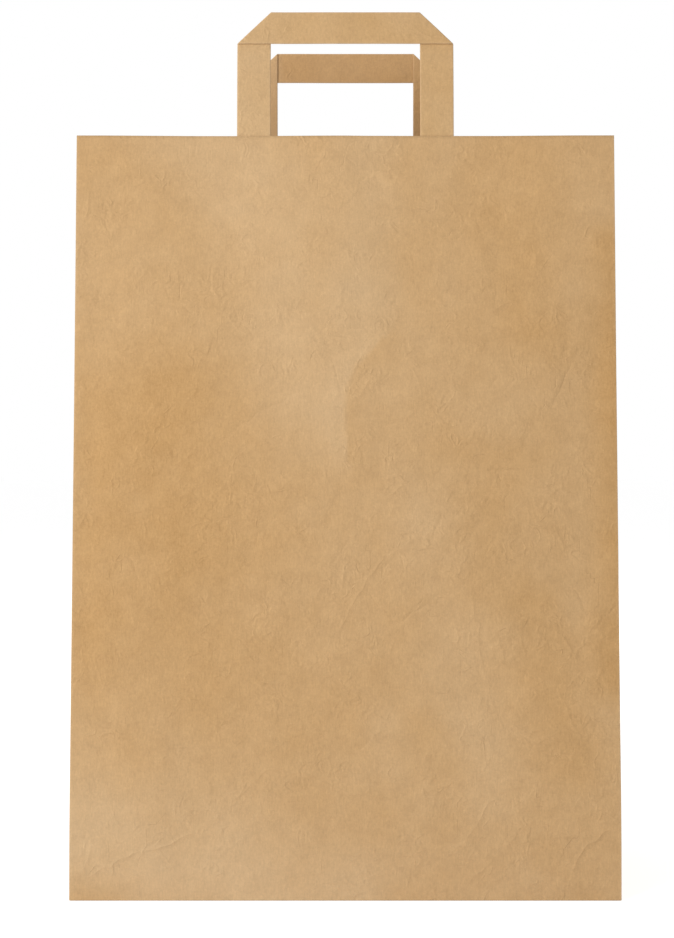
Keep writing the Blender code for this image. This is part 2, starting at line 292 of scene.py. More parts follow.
FRONT_SHADE_TONES = (
    # A wedge of painted light down from the rim
    ShadeTone(((-92, 452), (-56, 400), (-32, 345), (-20, 300)), 0.085, 64, 46),
    ShadeTone(((12, 462), (12, 400), (12, 350)), 0.075, 30, 36),
    # Painted highlight on the left flank of a small ridge, and painted shade on its right flank
    ShadeTone(((0.8, 267), (-0.6, 282), (0.5, 296), (6, 311), (14, 319)), 0.055, 30, 2),
    ShadeTone(((0.8, 268), (-0.6, 282), (0.5, 296), (6, 311), (14, 319)), -0.05, 2, 22),
    ShadeTone(((-125, 280), (-125, 168)), -0.09, 75, 75),
    ShadeTone(((-92, 290), (-76, 220), (-66, 130)), -0.055, 60, 60),
    ShadeTone(((-150, 250), (-150, 150)), -0.03, 36, 36),
    ShadeTone(((90, 440), (100, 390), (112, 335)), -0.08, 46, 42),
    # Painted shade along the right corner fold
    ShadeTone(((160, 380), (162, 230), (158, 130)), -0.14, 28, 28),
    ShadeTone(((84, 250), (86, 196)), -0.05, 34, 44),
    ShadeTone(((110, 168), (120, 124), (134, 84)), -0.075, 30, 34),
    ShadeTone(((-172, 34), (-100, 14), (-24, -6)), 0.20, 74, 40),
    ShadeTone(((24, 0), (60, 20), (84, 40)), 0.045, 52, 36),
    ShadeTone(((76, 2), (104, 10)), 0.05, 22, 26),
    ShadeTone(((24, 98), (44, 60)), 0.06, 24, 24),
    ShadeTone(((44, 214), (66, 140), (84, 70)), 0.055, 40, 34),
)

# How far the rim stands outside a straight line, at places across the front and the back, in millimetres
FRONT_RIM_WAVE = (
    (-160, -155, -116, -86, -68, -27, 0, 33, 68, 92, 122, 152, 160),
    (0.9, 0.8, -0.1, -0.9, -1.0, -0.3, 0.4, -0.5, -0.9, -0.6, 0.6, 1.2, 1.2),
)
BACK_RIM_WAVE = (
    (-160, -120, -70, -20, 30, 80, 120, 160),
    (0.8, 0.2, -0.8, 0.1, 0.4, -0.7, 0.1, 0.9),
)

# Each panel's ridges, the wave of its rim and the seed of its ripples
PANEL_WAVES = {"front": (FRONT_RIDGES, FRONT_RIM_WAVE, 5), "back": (BACK_RIDGES, BACK_RIM_WAVE, 11)}

# Painted light and shade on each handle's tape: painted light on the left legs, painted shade on the right
# legs and the front strap. The axis, where the change starts and ends in millimetres, and how much paler it
# is from there on. The front tape is palest on its left leg and deepest on its right one.
TAPE_PAINTED_SHADES = {
    "front": ((0, -70, 70, -0.06), (2, 495, 505, -0.03)),
    "back": ((0, -40, -46, 0.14), (0, 20, 60, -0.035)),
}
# How much paler each tape is all over, part of the same painted light and shade
TAPE_SHADE_OFFSET = {"front": 0.01, "back": 0.0}


def colour_setting(name, description, default):
    return bpy.props.FloatVectorProperty(
        name=name, description=description, subtype="COLOR", size=3, min=0, max=1, default=default
    )


def number_setting(name, description, default, most, **kind):
    return bpy.props.FloatProperty(
        name=name, description=description, default=default, min=0, max=most, **kind
    )


class BagSettings(bpy.types.PropertyGroup):
    """Colours and surface of the paper"""

    kraft_colour: colour_setting("Kraft sheet", "Colour of the bag's sheet", (0.575, 0.362, 0.173))
    # The back tape is the same paper as the front tape; its deeper colour is painted shade on the back handle
    back_tape_shaded_colour: colour_setting(
        "Back handle tape",
        "Colour of the back handle's tape, whose inner side shows over the rim",
        (0.54, 0.323, 0.146),
    )
    tape_colour: colour_setting("Handle tape", "Colour of the folded paper tape", (0.595, 0.388, 0.196))
    patch_colour: colour_setting("Patch", "Colour of the reinforcing sheets inside", (0.55, 0.35, 0.17))
    crumple: number_setting(
        "Crumple",
        "Height of the soft ridges, as a share of a lightly handled bag's",
        1.0,
        3,
        subtype="FACTOR",
    )
    ripple_height: number_setting(
        "Ripple height", "Height of the gentle waves between the ridges", 0.30 * MM, 2 * MM, unit="LENGTH"
    )


class StageSettings(bpy.types.PropertyGroup):
    """Light on the bag"""

    key_power: number_setting(
        "Key light", "Power of the large soft light at the front left", 62, 500, unit="POWER"
    )
    back_power: number_setting(
        "Back light", "Power of the soft light at the back right", 26, 500, unit="POWER"
    )
    fill_strength: number_setting(
        "Fill", "Strength of the even light from all round", 0.43, 2, subtype="FACTOR"
    )


def share(value, low, high):
    """How far value is from low to high, held between 0 and 1."""
    return np.clip((value - low) / (high - low), 0, 1)


def smooth_share(value, low, high):
    part = share(value, low, high)
    return part * part * (3 - 2 * part)


def panel_slope(side):
    return RIM_INSET / (RIM - side.upright)


def panel_depth(side, x, z):
    """Distance from the bag's middle to the outer face of a smooth panel."""
    past = z - side.upright
    leaning = np.maximum(past, 0)
    if side.bend:
        bending = (past + side.bend / 2) ** 2 / (2 * side.bend)
        leaning = np.where(np.abs(past) < side.bend / 2, bending, leaning)
    upward = np.sin(math.pi * share(z, side.upright, RIM)) ** 2
    bow = PANEL_BOW * upward * (1 - (2 * x / WIDTH) ** 2)
    return DEPTH / 2 - panel_slope(side) * leaning + bow - side.sunk


def line_distance(points, x, z):
    """For each place: distance to a bent line, whether the place is right of it, and how far along it is."""
    nearest = np.full(np.shape(x), np.inf)
    on_right = np.zeros(np.shape(x), bool)
    along = np.zeros(np.shape(x))
    lengths = [math.dist(a, b) for a, b in zip(points, points[1:])]
    walked = 0
    for (x0, z0), (x1, z1), length in zip(points, points[1:], lengths):
        run_x = (x1 - x0) / length
        run_z = (z1 - z0) / length
        step = np.clip((x - x0) * run_x + (z - z0) * run_z, 0, length)
        off_x = x - x0 - step * run_x
        off_z = z - z0 - step * run_z
        distance = np.hypot(off_x, off_z)
        closer = distance < nearest
        nearest = np.where(closer, distance, nearest)
        on_right = np.where(closer, off_x * run_z - off_z * run_x > 0, on_right)
        along = np.where(closer, (walked + step) / sum(lengths), along)
        walked += length
    return nearest, on_right, along


def end_taper(along):
    """1 along the middle of a line and 0 at its ends."""
    return np.sqrt(np.clip(4 * along * (1 - along), 0, 1))


def soft_line(form, x, z):
    """1 on a ridge's or tone's line and 0 at its reach on either side, and how far along the line it is."""
    distance, on_right, along = line_distance(form.points, x, z)
    part = np.clip(distance / np.where(on_right, form.right, form.left), 0, 1)
    return (1 + np.cos(math.pi * part)) / 2, along


def ridge_height(ridge, x, z):
    """Height of one ridge over the panel, in millimetres."""
    near, along = soft_line(ridge, x, z)
    return ridge.height * near * (RIDGE_END + (1 - RIDGE_END) * end_taper(along))


def scattered_creases(seed, count, low, high, longest=CREASE_LENGTHS[1]):
    """Short slight creases lying every way within a rectangle in millimetres."""
    random = np.random.default_rng(seed)
    creases = []
    for _ in range(count):
        start = np.array([random.uniform(a, b) for a, b in zip(low, high)])
        turn = random.uniform(0, math.pi)
        length = random.uniform(CREASE_LENGTHS[0], longest)
        way = np.array((math.cos(turn), math.sin(turn)))
        bend = np.array((-way[1], way[0])) * length * random.uniform(-CREASE_BEND, CREASE_BEND)
        points = [tuple(p) for p in (start, start + way * length / 2 + bend, start + way * length)]
        creases.append((points, random.choice((-1, 1)) * random.uniform(*SCATTERED_HEIGHT)))
    return creases


def crease_marks(creases, x, z):
    """For each place, in millimetres: signed distance to the nearest crease, and that crease's height there.
    The creases run a little unevenly."""
    x = x + CREASE_WOBBLE * ripples(x * MM, z * MM, WOBBLE_SEEDS[0], WOBBLE_WAVE)
    z = z + CREASE_WOBBLE * ripples(x * MM, z * MM, WOBBLE_SEEDS[1], WOBBLE_WAVE)
    offset = np.full(np.shape(x), FAR)
    height = np.zeros(np.shape(x))
    for points, rise in creases:
        distance, on_right, along = line_distance(points, x, z)
        closer = distance < np.abs(offset)
        offset = np.where(closer, np.where(on_right, distance, -distance), offset)
        height = np.where(closer, rise * end_taper(along), height)
    return np.clip(offset, -CREASE_MARK_REACH, CREASE_MARK_REACH), height


def tone_and_painted_light(shade_tones, x, z, seed):
    """How much paler the paper is at each place, given in millimetres: the paper's own random swing of tone,
    plus the listed lines of painted light and shade.
    """
    total = TONE_SWING * ripples(x * MM, z * MM, seed, SHEET_TONE_WAVE)
    for tone in shade_tones:
        total = total + tone.paler * soft_line(tone, x, z)[0]
    return total


def ripples(u, v, seed, wavelength):
    """Smooth waves in several directions, between about -1 and 1. Lengths are in metres."""
    random = np.random.default_rng(seed)
    total = 0
    for _ in range(WAVES):
        turn = random.uniform(0, 2 * math.pi)
        phase = random.uniform(0, 2 * math.pi)
        turns_per_metre = 1 / (wavelength * random.uniform(*WAVE_SPREAD))
        way = u * math.cos(turn) + v * math.sin(turn)
        total = total + np.sin(2 * math.pi * turns_per_metre * way + phase)
    return total / WAVE_CALM


def panel_relief(side, x, z):
    """How far the handled paper stands outside the smooth panel."""
    settings = bpy.context.scene.paper_bag
    ridges, wave, seed = PANEL_WAVES[side.name]
    total = sum(ridge_height(ridge, x / MM, z / MM) for ridge in ridges) * MM * settings.crumple
    total = total + settings.ripple_height * ripples(x, z, seed, BROAD_WAVE)
    total = total + SMALL_SHARE * settings.ripple_height * ripples(x, z, seed + 1, SMALL_WAVE)
    total = total * smooth_share(WIDTH / 2 - np.abs(x), 0, CORNER_FADE)
    rim_wave = np.interp(x / MM, *wave) * MM * smooth_share(z, RIM - RIM_WAVE_REACH, RIM)
    return (total + rim_wave) * smooth_share(z, 0, BASE_FADE)


def panel_face(side, x, z):
    return panel_depth(side, x, z) + panel_relief(side, x, z)


def corner(side, height):
    """Point of the smooth right-hand corner fold."""
    depth = float(panel_depth(side, WIDTH / 2, height))
    return np.array((WIDTH / 2, side.out * depth, max(height, PAPER / 2)))


def crease_reach(height):
    """How far a gusset's centre crease stands in from the side."""
    half = (corner(BACK, height)[1] - corner(FRONT, height)[1]) / 2
    return math.sqrt(max(APEX**2 - half**2, 0))


def crease_points(heights):
    """The centre crease from the apex up. It keeps its length as it runs in."""
    points = {}
    reach = crease_reach(APEX)
    level = math.sqrt(APEX**2 - reach**2)
    last = APEX
    for height in heights:
        further = crease_reach(height)
        level += math.sqrt((height - last) ** 2 - (further - reach) ** 2)
        middle = (corner(BACK, height)[1] + corner(FRONT, height)[1]) / 2
        points[height] = np.array((WIDTH / 2 - further, middle, level))
        reach = further
        last = height
    return points


def sheet_heights():
    """Heights of the sheet's rows, closer at the fold along the base."""
    below = np.linspace(BASE_BAND, APEX, APEX_ROWS)[1:]
    above = np.linspace(APEX, RIM, SHEET_ROWS - len(BASE_ROWS) - len(below) + 1)[1:]
    return [float(h) for h in (*BASE_ROWS, *below, *above)]


def column_places(low, high, count):
    """Places across a panel that divide it into count strips, with some close to each corner fold."""
    edge = np.array((0, *CORNER_COLUMNS))
    inner = np.linspace(low + CORNER_CLEAR, high - CORNER_CLEAR, count + 1 - 2 * len(edge))
    return np.concatenate((low + edge, inner, high - edge[::-1]))


def half_gusset(start, end, bow):
    """Points from a corner fold towards the centre crease, without the corner itself."""
    inner = np.linspace(GUSSET_CLEAR, 1, GUSSET_COLUMNS - len(GUSSET_CORNER_COLUMNS))
    t = np.concatenate((GUSSET_CORNER_COLUMNS, inner))[:, None]
    return start + (end - start) * t + np.array((4 * bow, 0, 0)) * t * (1 - t), t[:, 0]


def gusset_row(height, creases, end):
    """A gusset's points from its front corner fold to its back one. end is 1 on the right, -1 on the left."""
    upward = float(share(height, BASE_BAND, APEX))
    bow = GUSSET_BOW * math.sin(math.pi / 2 * share(height, APEX, RIM))
    loose = bpy.context.scene.paper_bag.ripple_height * GUSSET_LOOSENESS * upward
    folds = []
    halves = []
    for side, seed in zip((FRONT, BACK), GUSSET_WAVE_SEEDS):
        if height < APEX:
            fold = corner(side, min(height, BASE_BAND)) * (1 - upward) + creases[APEX] * upward
        else:
            fold = creases[height]
        start = corner(side, height)
        start[1] += side.out * float(panel_relief(side, end * WIDTH / 2, height))
        half, t = half_gusset(start, fold, bow)
        half[:, 0] += loose * ripples(half[:, 1], half[:, 2], seed + end, GUSSET_WAVE) * 4 * t * (1 - t)
        folds.append(fold)
        halves.append(half)
    middle = np.linspace(0, 1, TRIANGLE_COLUMNS + 1)[1:-1, None]
    triangle = folds[0] + (folds[1] - folds[0]) * middle
    row = np.concatenate((halves[0], triangle, halves[1][::-1]))
    row[:, 0] *= end
    return row


def round_fold(row, at):
    """Spreads the turn at a fold over its two neighbours on either side."""
    count = len(row)
    places = [(at + k) % count for k in (-2, -1, 0, 1, 2)]
    for _ in range(2):
        old = row.copy()
        for k in places[1:-1]:
            row[k] = (old[k - 1] + 2 * old[k] + old[(k + 1) % count]) / 4


def tuck_base_fold(row, height):
    """The sheet turns under the base round a small radius."""
    if height < FOLD_ROUND:
        away = FOLD_ROUND * (1 - math.sqrt(1 - (1 - height / FOLD_ROUND) ** 2))
        row[:, 0] *= 1 - away / (WIDTH / 2)
        row[:, 1] *= 1 - away / (DEPTH / 2)


def sheet_rows():
    """Closed rows of points round the bag, the seam's double thickness, and the columns of the folds."""
    heights = sheet_heights()
    creases = crease_points([h for h in heights if h >= APEX])
    front_x = column_places(-WIDTH / 2, WIDTH / 2, FRONT_COLUMNS)
    back_x = column_places(-WIDTH / 2, WIDTH / 2, BACK_COLUMNS)
    seam_inner = SEAM_INNER + np.array((0, SEAM_STEP))
    seam_outer = SEAM_OUTER + np.array((-SEAM_RUB, 0, SEAM_STEP, SEAM_RUB))
    back_x = np.sort(np.concatenate((back_x, seam_inner, seam_outer)))[::-1]
    grid_z = np.array(heights)[:, None]
    front_y = -panel_face(FRONT, front_x[None, :], grid_z)
    back_y = panel_face(BACK, back_x[None, :], grid_z) + np.where(back_x <= SEAM_OUTER, PAPER, 0)
    double = np.where((back_x > SEAM_INNER) & (back_x <= SEAM_OUTER), 1.0, 0.0)
    rows = []
    for k, height in enumerate(heights):
        level = max(height, PAPER / 2)
        front = np.column_stack((front_x, front_y[k], np.full(len(front_x), level)))
        back = np.column_stack((back_x, back_y[k], np.full(len(back_x), level)))
        right = gusset_row(height, creases, 1)
        left = gusset_row(height, creases, -1)[::-1]
        row = np.concatenate((front, right, back, left))
        corners = (0, len(front) - 1, len(front) + len(right), len(front) + len(right) + len(back) - 1)
        for at in corners:
            round_fold(row, at)
        tuck_base_fold(row, height)
        rows.append(row)
    rows = np.array(rows)
    doubled = np.zeros(len(rows[0]))
    doubled[corners[2] : corners[3] + 1] = double
    fold_columns = []
    for start in (corners[1] + 1, corners[3] + 1):
        fold_columns += [start + GUSSET_COLUMNS - 1, start + len(right) - GUSSET_COLUMNS]
    return rows, doubled, corners, fold_columns


def sheet_marks(rows, corners, fold_columns):
    """Wear at the folds, tone of the paper with painted light and shade on the front panel, and creases, for
    every point of the sheet.
    """
    names = ("fold_wear", "tone_and_painted_light", "crease_offset", "crease_height")
    marks = {name: np.zeros(rows.shape[:2]) for name in names}
    wear = marks["fold_wear"]
    count = rows.shape[1]
    for at in corners:
        wear[:, [(at + k) % count for k in (-2, -1, 0, 1, 2)]] = CORNER_WEAR
    wear[:, fold_columns] = GUSSET_WEAR
    from_seam = np.abs(rows[-1, corners[2] : corners[3], 0] - SEAM_OUTER)
    wear[:, corners[2] + np.flatnonzero(from_seam < 2 * SEAM_STEP)] = SEAM_WEAR
    low = np.array((-WIDTH / 2 / MM, LOWEST_CREASE))
    high = np.array((WIDTH / 2 / MM, RIM / MM))
    front_creases = [*FRONT_CREASES, *scattered_creases(*FRONT_CREASE_COUNT, low, high)]
    for crumpled in CRUMPLED_PLACES:
        front_creases += scattered_creases(*crumpled, CRUMPLED_LONGEST)
    back_creases = (*BACK_CREASES, *scattered_creases(*BACK_CREASE_COUNT, low, high))
    low[0] = -DEPTH / 2 / MM
    high[0] = DEPTH / 2 / MM
    gusset_creases = scattered_creases(*GUSSET_CREASE_COUNT, low, high)
    parts = (
        (slice(0, corners[1] + 1), 0, front_creases, FRONT_SHADE_TONES),
        (slice(corners[1] + 1, corners[2]), 1, gusset_creases, ()),
        (slice(corners[2], corners[3] + 1), 0, back_creases, ()),
        (slice(corners[3] + 1, count), 1, gusset_creases, ()),
    )
    for seed, (part, axis, creases, shade_tones) in enumerate(parts, FIRST_TONE_SEED):
        across = rows[:, part, axis] / MM
        up = rows[:, part, 2] / MM
        marks["tone_and_painted_light"][:, part] = tone_and_painted_light(shade_tones, across, up, seed)
        marks["crease_offset"][:, part], marks["crease_height"][:, part] = crease_marks(creases, across, up)
    return marks


def new_object(name, bm, material, sharp_angle=SHEET_SHARP_ANGLE):
    mesh = bpy.data.meshes.new(name)
    bm.to_mesh(mesh)
    bm.free()
    sharp = [edge.use_edge_sharp for edge in mesh.edges]
    mesh.shade_smooth()
    mesh.set_sharp_from_angle(angle=math.radians(sharp_angle))
    for edge, kept in zip(mesh.edges, sharp):
        if kept:
            edge.use_edge_sharp = True
    mesh.materials.append(material)
    obj = bpy.data.objects.new(name, mesh)
    bpy.context.scene.collection.objects.link(obj)
    return obj


def loft(rows, closed=False, marks=None, doubled=None):
    """Faces between rows of points. marks are named values for every point, and doubled is the seam's weight
    along a row. Points that fall together stay apart until weld."""
    bm = bmesh.new()
    layers = {name: bm.verts.layers.float.new(name) for name in marks or {}}
    weights = bm.verts.layers.deform.verify() if doubled is not None else None
    rings = [[bm.verts.new(point) for point in row] for row in rows]
    for name, layer in layers.items():
        for ring, values in zip(rings, marks[name]):
            for vert, value in zip(ring, values):
                vert[layer] = value
    if weights:
        for ring in rings:
            for vert, double in zip(ring, doubled):
                vert[weights][0] = double
    for low, high in zip(rings, rings[1:]):
        count = len(low)
        for k in range(count if closed else count - 1):
            after = (k + 1) % count
            bm.faces.new((low[k], low[after], high[after], high[k]))
    return bm, rings


def weld(bm):
    bmesh.ops.remove_doubles(bm, verts=bm.verts, dist=WELD_DISTANCE)


def thicken(obj, thickness, offset):
    solid = obj.modifiers.new("Thickness", "SOLIDIFY")
    solid.thickness = thickness
    solid.offset = offset
    solid.use_even_offset = True
    return solid


def mark_sharp(rings, columns):
    """Marks the folds that run up the given columns as sharp."""
    for low, high in zip(rings, rings[1:]):
        for column in columns:
            for edge in low[column].link_edges:
                if edge.other_vert(low[column]) is high[column]:
                    edge.smooth = False


def fold_line(side, inset=0):
    return side.out * (DEPTH / 2 - side.sunk - PAPER / 2 - inset)


def flap_outline(side):
    """Front or back bottom flap: a trapezoid whose ends run at 45 degrees from the base's corners."""
    end = WIDTH / 2 - FOLD_ROUND
    fold = fold_line(side, FOLD_ROUND)
    free = side.out * (DEPTH / 2 - FLAP_LENGTH)
    return [(-end, fold), (end, fold), (WIDTH / 2 - FLAP_LENGTH, free), (FLAP_LENGTH - WIDTH / 2, free)]


def turned_corner_outline(end, side):
    """The part of a flap that is folded back under its 45 degree end."""
    root = end * (WIDTH / 2 - FLAP_LENGTH + TURN_INSET)
    tip = end * (WIDTH / 2 - FOLD_ROUND - 3 * TURN_INSET)
    fold = fold_line(side, FOLD_ROUND)
    free = side.out * (DEPTH / 2 - FLAP_LENGTH + 3 * TURN_INSET)
    return [(tip, fold), (root, fold), (root, free)]


def side_flap_outline(end):
    """The gusset's flap, which is folded in first and lies on top inside the bag."""
    outer = end * (WIDTH / 2 - PAPER / 2)
    inner = end * (WIDTH / 2 - FLAP_LENGTH)
    front = fold_line(FRONT)
    back = fold_line(BACK)
    return [(outer, front), (outer, back), (inner, back), (inner, front)]


def add_flap(bm, worn, outline, low, high):
    """One layer of the block bottom, a little sunk into the layer below it and rubbed along its edges."""
    bottom = low * PAPER - (LAYER_GRIP if low else 0)
    lower = [bm.verts.new((x, y, bottom)) for x, y in outline]
    upper = [bm.verts.new((x, y, high * PAPER)) for x, y in outline]
    for k in range(len(outline)):
        bm.faces.new((lower[k - 1], lower[k], upper[k], upper[k - 1]))
    faces = [bm.faces.new(lower), bm.faces.new(upper)]
    for face in faces:
        face.normal_update()
    bmesh.ops.inset_individual(bm, faces=faces, thickness=FLAP_RUB, use_even_offset=True)
    for vert in lower + upper:
        vert[worn] = FLAP_WEAR


def block_bottom():
    """The bottom's layers from the floor up: front flap, back flap, turned corners, side flaps."""
    bm = bmesh.new()
    worn = bm.verts.layers.float.new("fold_wear")
    add_flap(bm, worn, flap_outline(FRONT), 0, 1)
    add_flap(bm, worn, flap_outline(BACK), 1, 2)
    for end in (-1, 1):
        add_flap(bm, worn, turned_corner_outline(end, FRONT), 1, 3)
        add_flap(bm, worn, turned_corner_outline(end, BACK), 2, 3)
        add_flap(bm, worn, side_flap_outline(end), 3, 4)
    bmesh.ops.recalc_face_normals(bm, faces=bm.faces)
    return bm


def fold_tape(across, along):
    """Folds the flat tape over at 45 degrees where it passes FOLD_LINE, round FOLD_RADIUS."""
    past = np.maximum((across + along - FOLD_LINE) / math.sqrt(2), 0)
    half_turn = math.pi * FOLD_RADIUS
    rolling = past < half_turn
    angle = past / FOLD_RADIUS
    reach = np.where(rolling, FOLD_RADIUS * np.sin(angle), half_turn - past)
    out = np.where(rolling, FOLD_RADIUS * (1 - np.cos(angle)), 2 * FOLD_RADIUS)
    shift = (reach - past) / math.sqrt(2)
    return across + shift, along + shift, out


def tape_grid():
    """Half the tape as places across it and along it, with cross lines that turn to run along the fold."""
    edge = np.array(TAPE_EDGE_COLUMNS)
    across = np.concatenate((edge, np.linspace(0, TAPE_WIDTH, TAPE_COLUMNS)[1:-1], (TAPE_WIDTH - edge)[::-1]))
    straight = np.linspace(-HANDLE_TUCK, FOLD_LINE - LEG_CLEAR, LEG_ROWS)
    lines = [np.full(len(across), along) for along in straight]
    lines += list(np.linspace(lines[-1], FOLD_LINE - across, TURN_ROWS)[1:-1])
    for past in np.linspace(0, math.pi * FOLD_RADIUS, FOLD_ROWS):
        lines.append(FOLD_LINE + math.sqrt(2) * past - across)
    strap_x = np.linspace(LEG_INNER - STRAP_CLEAR, 0, STRAP_ROWS)
    first = np.full(len(across), LEG_INNER + HANDLE_RISE - strap_x[0])
    lines += list(np.linspace(lines[-1], first, TURN_ROWS)[1:-1])
    lines += [np.full(len(across), LEG_INNER + HANDLE_RISE - x) for x in strap_x]
    return np.broadcast_to(across, (len(lines), len(across))), np.array(lines)


def tape_lean(side):
    """Tables along the tape above the rim: length, lean, how far it leans in, and height gained."""
    length = np.linspace(0, HANDLE_RISE + 2 * MM, LEAN_STEPS)
    rim_lean = math.atan(panel_slope(side))
    middle = HANDLE_RISE - TAPE_WIDTH
    turn = share(length, middle - STRAP_BEND / 2, middle + STRAP_BEND / 2)
    lean = rim_lean + (side.strap_lean - rim_lean) * turn
    between = (lean[:-1] + lean[1:]) / 2
    inward = np.append(0, np.cumsum(np.sin(between) * length[1]))
    gained = np.append(0, np.cumsum(np.cos(between) * length[1]))
    return length, lean, inward, gained


def place_tape(side, x, up, out):
    """Stands the flat handle up on its panel: it follows the paper to the rim, then turns into its lean."""
    inset = PAPER + GAP + TAPE_THICKNESS / 2
    length, lean, inward, gained = tape_lean(side)
    below = np.minimum(up, 0)
    above = np.maximum(up, 0)
    at_paper = panel_relief(side, x, RIM + below)
    legs = [float(panel_relief(side, end * (LEG_INNER + LEG_OUTER) / 2, RIM)) for end in (-1, 1)]
    free = smooth_share(up, 0, LEG_FREE)
    relief = at_paper * (1 - free) + (legs[0] + legs[1]) / 2 * free
    tilt = np.interp(above, length, lean)
    depth = panel_depth(side, x, RIM + below) - inset + relief
    depth = depth - np.interp(above, length, inward) + out * np.cos(tilt)
    depth = depth + TAPE_RIPPLE * ripples(x, up, TAPE_WAVE_SEED, TAPE_WAVE) * share(up, 0, TAPE_WAVE_START)
    z = RIM + below + np.interp(above, length, gained) + out * np.sin(tilt)
    return np.stack((x, side.out * depth, z), axis=-1)


def grid_normals(points):
    along = np.gradient(points, axis=0)
    across = np.gradient(points, axis=1)
    normals = np.cross(along, across)
    return normals / np.linalg.norm(normals, axis=2, keepdims=True)


def tape_tone_and_shade(side, points):
    """How much paler a handle's tape is at each point: the paper's own random swing of tone, plus painted
    light and shade.
    """
    total = TONE_SWING * ripples(points[:, :, 0], points[:, :, 2], TAPE_TONE_SEED, TAPE_TONE_WAVE)
    total = total + TAPE_SHADE_OFFSET[side.name]
    for axis, start, end, paler in TAPE_PAINTED_SHADES[side.name]:
        total = total + paler * smooth_share(points[:, :, axis] / MM, start, end)
    return total


def tape_body(side):
    """The folded tape as a closed strip with rounded long edges."""
    across, along = tape_grid()
    inward, up, out = fold_tape(across, along)
    right = place_tape(side, LEG_INNER + inward, up, out)
    left = place_tape(side, -LEG_INNER - inward, up, out)
    middle = np.concatenate((right, left[-2::-1]))
    from_edge = np.minimum(across[0], TAPE_WIDTH - across[0])
    half = TAPE_THICKNESS / 2
    swell = half * np.sqrt(1 - (1 - np.clip(from_edge / half, 0, 1)) ** 2)
    offset = grid_normals(middle) * swell[None, :, None]
    ring = np.concatenate((middle + offset, (middle - offset)[:, -2:0:-1]), axis=1)
    wear = np.clip(1 - from_edge / TAPE_EDGE_WEAR, 0, 1)
    wear = np.broadcast_to(np.concatenate((wear, wear[-2:0:-1])), ring.shape[:2])
    bm, rings = loft(ring, True, {"fold_wear": wear, "tone_and_painted_light": tape_tone_and_shade(side, ring)})
    bm.faces.new(rings[0])
    bm.faces.new(rings[-1])
    weld(bm)
    bmesh.ops.recalc_face_normals(bm, faces=bm.faces)
    return bm


def patch_depth(side, x, z):
    """Distance from the bag's middle to the patch's middle. It lies on the panel and climbs over the legs."""
    beside = np.maximum(LEG_INNER - PATCH_CLEAR - np.abs(x), np.abs(x) - LEG_OUTER - PATCH_CLEAR)
    beside = np.maximum(beside, 0)
    below = np.maximum(RIM - HANDLE_TUCK - PATCH_CLEAR - z, 0)
    climb = (1 - smooth_share(beside, 0, PATCH_RAMP)) * (1 - smooth_share(below, 0, PATCH_RAMP))
    inset = PAPER + GAP + PATCH_PAPER / 2 + climb * (TAPE_THICKNESS + GAP)
    return panel_face(side, x, z) - inset


def patch_body(side):
    reach = LEG_OUTER + PATCH_SIDE
    columns = np.linspace(-reach, reach, PATCH_COLUMNS)
    x, z = np.meshgrid(columns, np.linspace(RIM - HANDLE_TUCK - PATCH_BELOW, RIM - PATCH_TOP, PATCH_ROWS))
    return loft(np.stack((x, side.out * patch_depth(side, x, z), z), axis=-1))[0]


def put(tree, kind, **settings):
    """A node with its own settings."""
    node = tree.nodes.new(kind)
    for name, value in settings.items():
        setattr(node, name, value)
    return node


def feed(tree, node, **inputs):
    """Gives a node's inputs their values or links. A _ in an input's name stands for a space."""
    for name, value in inputs.items():
        socket = node.inputs[name.replace("_", " ")]
        if isinstance(value, bpy.types.NodeSocket):
            tree.links.new(value, socket)
        else:
            socket.default_value = value
    return node


def arrange(tree):
    """Lays the nodes out in columns, each node to the right of all that feed it."""
    columns = dict.fromkeys(tree.nodes, 0)
    for _ in tree.nodes:
        for link in tree.links:
            columns[link.to_node] = max(columns[link.to_node], columns[link.from_node] + 1)
    filled = dict.fromkeys(columns.values(), 0)
    for node, column in columns.items():
        node.location = (220 * column, -240 * filled[column])
        filled[column] += 1


def maths(tree, operation, first, second, clamp=False):
    """A math node's result. It is fed by sockets or plain numbers."""
    node = put(tree, "ShaderNodeMath", operation=operation, use_clamp=clamp)
    for socket, value in zip(node.inputs, (first, second)):
        if isinstance(value, (int, float)):
            socket.default_value = value
        else:
            tree.links.new(value, socket)
    return node.outputs[0]


def noise(tree, vector, scale, detail, roughness=0.5, distortion=0.0):
    node = put(tree, "ShaderNodeTexNoise")
    feed(tree, node, Vector=vector, Scale=scale, Detail=detail, Roughness=roughness, Distortion=distortion)
    return node.outputs[0]


def mark_value(tree, name):
    """The value that the mesh carries under a name."""
    return put(tree, "ShaderNodeAttribute", attribute_name=name).outputs["Fac"]


def swing(tree, value, amount):
    """A texture's swing about its middle, times an amount."""
    return maths(tree, "MULTIPLY", maths(tree, "SUBTRACT", value, 0.5), amount)


def object_place(tree):
    return put(tree, "ShaderNodeTexCoord").outputs["Object"]


